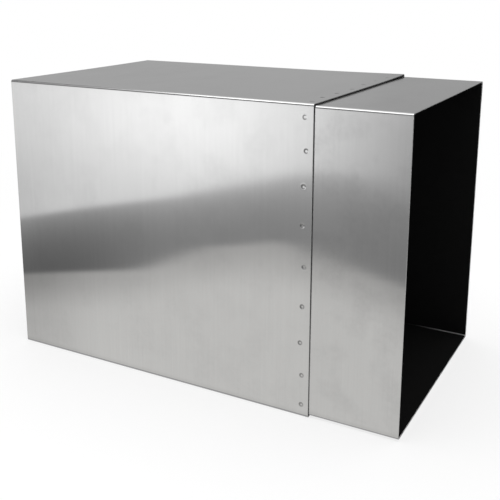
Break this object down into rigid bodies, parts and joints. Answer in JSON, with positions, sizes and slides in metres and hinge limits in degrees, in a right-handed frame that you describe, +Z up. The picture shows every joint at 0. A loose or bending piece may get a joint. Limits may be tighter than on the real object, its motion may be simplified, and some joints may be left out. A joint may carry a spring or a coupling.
{
  "type": "vent cowl",
  "caption": "Rectangular brushed-steel vent cowl: an outer casing with spot welds round its mouth and a black-lined inner sleeve that slides in and out of it.",
  "frame": {"origin": "centre of the base, under the middle of the part as it lies with the sleeve at rest", "axes": "+X along the duct, from the casing's rear end to the sleeve's open mouth; +Y from the front face to the back; +Z up"},
  "size_m": [0.5, 0.285, 0.34],
  "materials": {
    "brushed_stainless": "brushed across the duct",
    "mill_stainless": "mill finish",
    "black_lining": "satin black",
    "grey_felt": "felt"
  },
  "bodies": {
    "casing": {"casing_wrap": "brushed_stainless", "casing_back": "brushed_stainless", "mouth_strip_front": "mill_stainless", "mouth_strip_top": "mill_stainless", "mouth_strip_bottom": "mill_stainless", "mouth_strip_back": "mill_stainless"},
    "sleeve": {"sleeve_wrap": "brushed_stainless", "sleeve_back": "brushed_stainless", "tail_strip_front": "mill_stainless", "tail_strip_top": "mill_stainless", "tail_strip_bottom": "mill_stainless", "tail_strip_back": "mill_stainless", "tail_felt_front": "grey_felt", "tail_felt_top": "grey_felt", "tail_felt_bottom": "grey_felt", "tail_felt_back": "grey_felt", "lining_front": "black_lining", "lining_top": "black_lining", "lining_bottom": "black_lining", "lining_back": "black_lining"}
  },
  "joints": [
    {"name": "sleeve_slide", "type": "slide", "parent": "casing", "child": "sleeve", "axis": [1, 0, 0], "range_m": [-0.09, 0.1997]}
  ]
}
